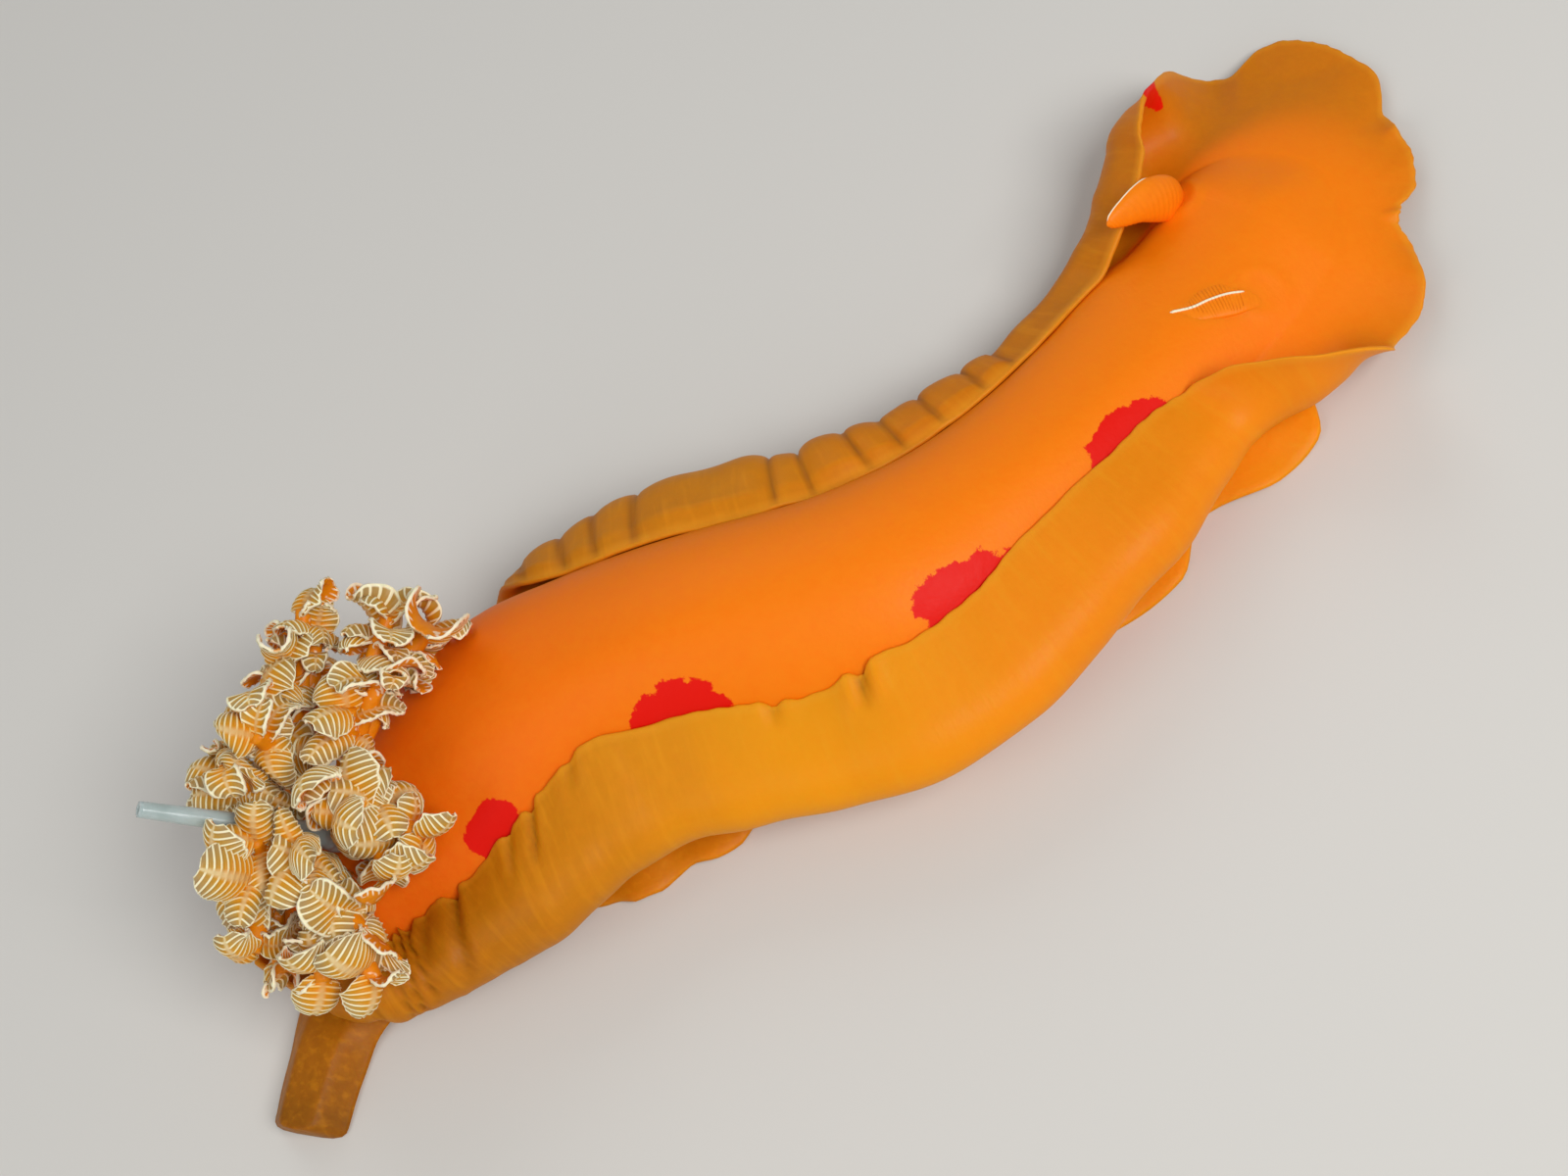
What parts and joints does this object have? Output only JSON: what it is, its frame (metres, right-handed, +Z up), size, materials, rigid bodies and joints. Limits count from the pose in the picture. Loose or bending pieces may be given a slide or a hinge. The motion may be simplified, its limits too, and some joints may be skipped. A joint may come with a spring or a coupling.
{
  "type": "nudibranch",
  "caption": "Life-size spanish dancer sea slug, crawling, with rolled mantle margins, frilled front veil, swept-back rhinophores and a crown of feathery gills around a tubular vent.",
  "frame": {"origin": "on the flat sole of the foot, under the middle of the body, at the floor", "axes": "+X towards the head, +Y the animal's left, +Z up from the floor"},
  "size_m": [0.1975, 0.0663, 0.0386],
  "materials": {
    "back_skin": "wet satin, orange",
    "margin_skin": "wet satin, ochre orange",
    "foot_skin": "wet satin, brownish orange",
    "gill_skin": "wet satin, pale orange edged with white",
    "papilla_skin": "wet satin, pale bluish white"
  },
  "bodies": {
    "root": {"body_rear": "back_skin", "body_middle": "back_skin", "body_front": "back_skin", "neck": "back_skin", "head": "back_skin", "rhinophore_left": "back_skin", "rhinophore_right": "back_skin", "margin_right_rear": "margin_skin", "margin_right_middle": "margin_skin", "margin_right_front": "margin_skin", "veil_right": "margin_skin", "veil_left": "margin_skin", "margin_left_front": "margin_skin", "margin_left_middle": "margin_skin", "margin_left_rear": "margin_skin", "margin_tail": "margin_skin", "tail": "foot_skin", "foot_rear": "foot_skin", "foot_middle": "foot_skin", "foot_front": "foot_skin", "oral_tentacle_left": "foot_skin", "oral_tentacle_right": "foot_skin", "mouth": "foot_skin", "anal_papilla": "papilla_skin", "gill_1": "gill_skin", "gill_2": "gill_skin", "gill_3": "gill_skin", "gill_4": "gill_skin", "gill_5": "gill_skin", "gill_6": "gill_skin"}
  },
  "joints": []
}
